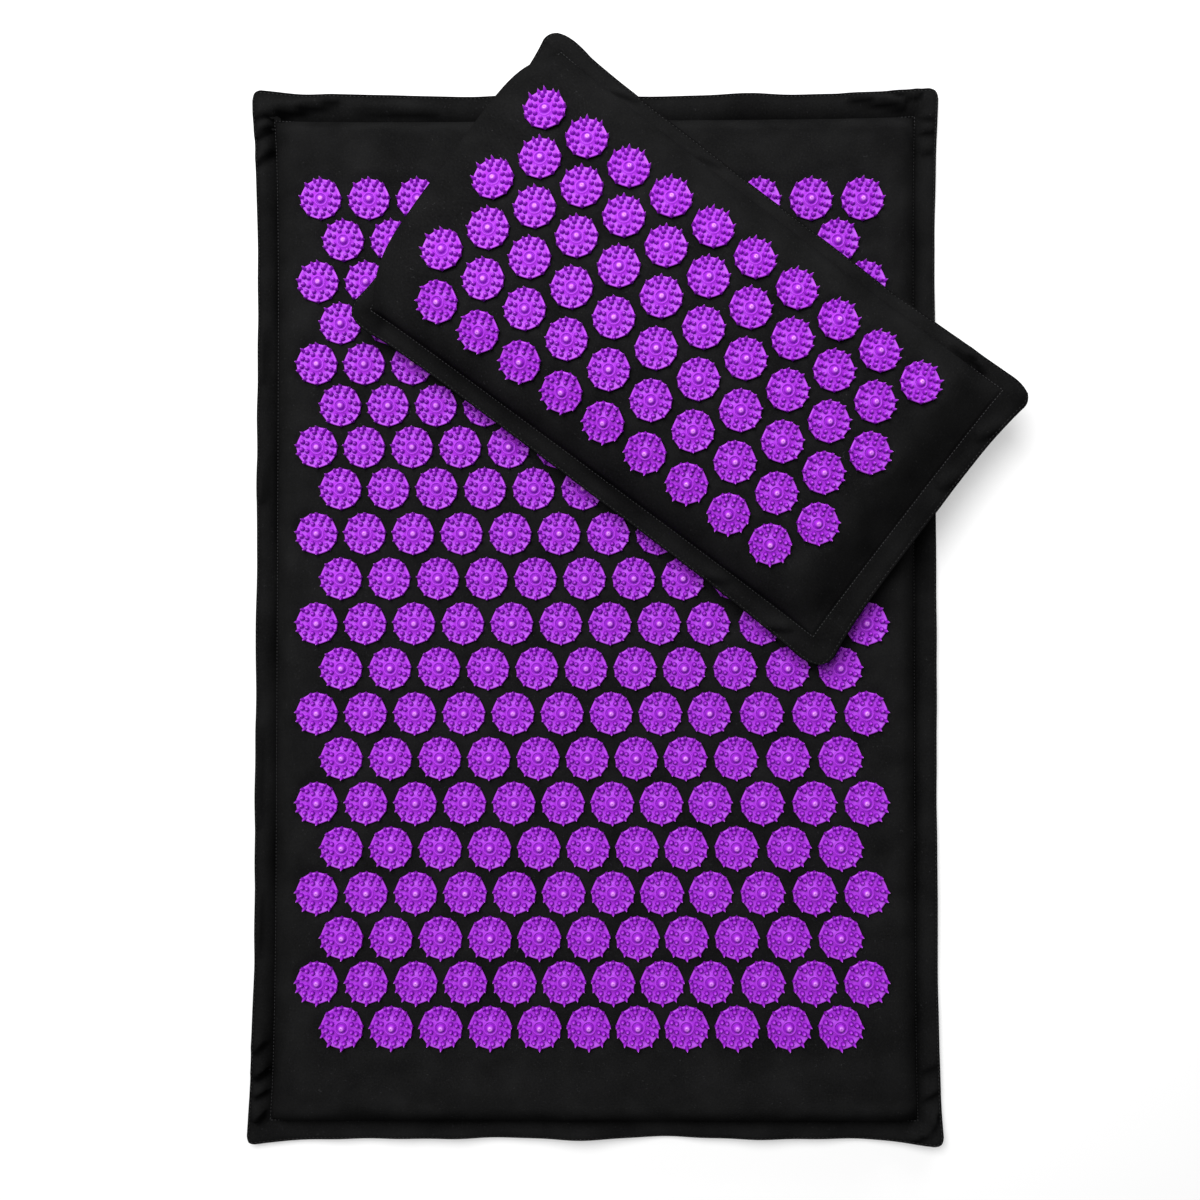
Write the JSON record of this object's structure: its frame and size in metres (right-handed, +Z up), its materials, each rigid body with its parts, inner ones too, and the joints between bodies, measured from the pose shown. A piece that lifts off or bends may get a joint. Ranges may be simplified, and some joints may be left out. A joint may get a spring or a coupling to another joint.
{
  "type": "acupressure mat with pillow",
  "caption": "Padded acupressure mat with rows of spiked plastic discs and a matching spiked pillow lying on it, both in zipped cotton covers over foam cores.",
  "frame": {"origin": "middle of the mat's flat underside, where it lies on the floor", "axes": "+Z up, +Y along the mat's length towards the end that the pillow lies over, +X across the mat"},
  "size_m": [0.4603, 0.6636, 0.088],
  "materials": {
    "black_cotton": "matte woven cotton",
    "purple_plastic": "satin moulded plastic",
    "grey_foam": "open-cell foam",
    "zip_tape": "woven polyester tape",
    "zip_teeth": "nylon coil",
    "dark_metal": "black lacquered zinc"
  },
  "bodies": {
    "mat": {"mat_top_panel": "black_cotton", "mat_back_panel": "black_cotton", "mat_foam_core": "grey_foam", "mat_disc_row_01": "purple_plastic", "mat_disc_row_02": "purple_plastic", "mat_disc_row_03": "purple_plastic", "mat_disc_row_04": "purple_plastic", "mat_disc_row_05": "purple_plastic", "mat_disc_row_06": "purple_plastic", "mat_disc_row_07": "purple_plastic", "mat_disc_row_08": "purple_plastic", "mat_disc_row_09": "purple_plastic", "mat_disc_row_10": "purple_plastic", "mat_disc_row_11": "purple_plastic", "mat_disc_row_12": "purple_plastic", "mat_disc_row_13": "purple_plastic", "mat_disc_row_14": "purple_plastic", "mat_disc_row_15": "purple_plastic", "mat_disc_row_16": "purple_plastic", "mat_disc_row_17": "purple_plastic", "mat_disc_row_18": "purple_plastic", "mat_disc_row_19": "purple_plastic", "mat_disc_row_20": "purple_plastic", "mat_zip_tape_upper": "zip_tape", "mat_zip_tape_lower": "zip_tape", "mat_zip_teeth_upper": "zip_teeth", "mat_zip_teeth_lower": "zip_teeth", "mat_zip_top_stop": "dark_metal", "mat_zip_bottom_stop": "dark_metal"},
    "mat_zip_slider": {"mat_zip_slider": "dark_metal"},
    "mat_zip_pull_tab": {"mat_zip_pull_tab": "dark_metal"},
    "pillow": {"pillow_top_panel": "black_cotton", "pillow_back_panel": "black_cotton", "pillow_foam_core": "grey_foam", "pillow_disc_row_1": "purple_plastic", "pillow_disc_row_2": "purple_plastic", "pillow_disc_row_3": "purple_plastic", "pillow_disc_row_4": "purple_plastic", "pillow_disc_row_5": "purple_plastic", "pillow_disc_row_6": "purple_plastic", "pillow_zip_tape_upper": "zip_tape", "pillow_zip_tape_lower": "zip_tape", "pillow_zip_teeth_upper": "zip_teeth", "pillow_zip_teeth_lower": "zip_teeth", "pillow_zip_top_stop": "dark_metal", "pillow_zip_bottom_stop": "dark_metal"},
    "pillow_zip_slider": {"pillow_zip_slider": "dark_metal", "pillow_zip_pull_tab": "dark_metal"}
  },
  "joints": [
    {"name": "pillow_lift", "type": "slide", "parent": "mat", "child": "pillow", "axis": [0, 0, 1], "range_m": [0, 0.15]},
    {"name": "mat_zip_slide", "type": "slide", "parent": "mat", "child": "mat_zip_slider", "axis": [-1, 0, 0], "range_m": [0, 0.286]},
    {"name": "mat_zip_pull_swing", "type": "hinge", "parent": "mat_zip_slider", "child": "mat_zip_pull_tab", "pos_m": [0.1479, 0.26904, 0.0015], "axis": [0, -1, 0], "range_deg": [0, 150]},
    {"name": "pillow_zip_slide", "type": "slide", "parent": "pillow", "child": "pillow_zip_slider", "axis": [-0.7997, 0.6004, 0], "range_m": [0, 0.186]}
  ]
}
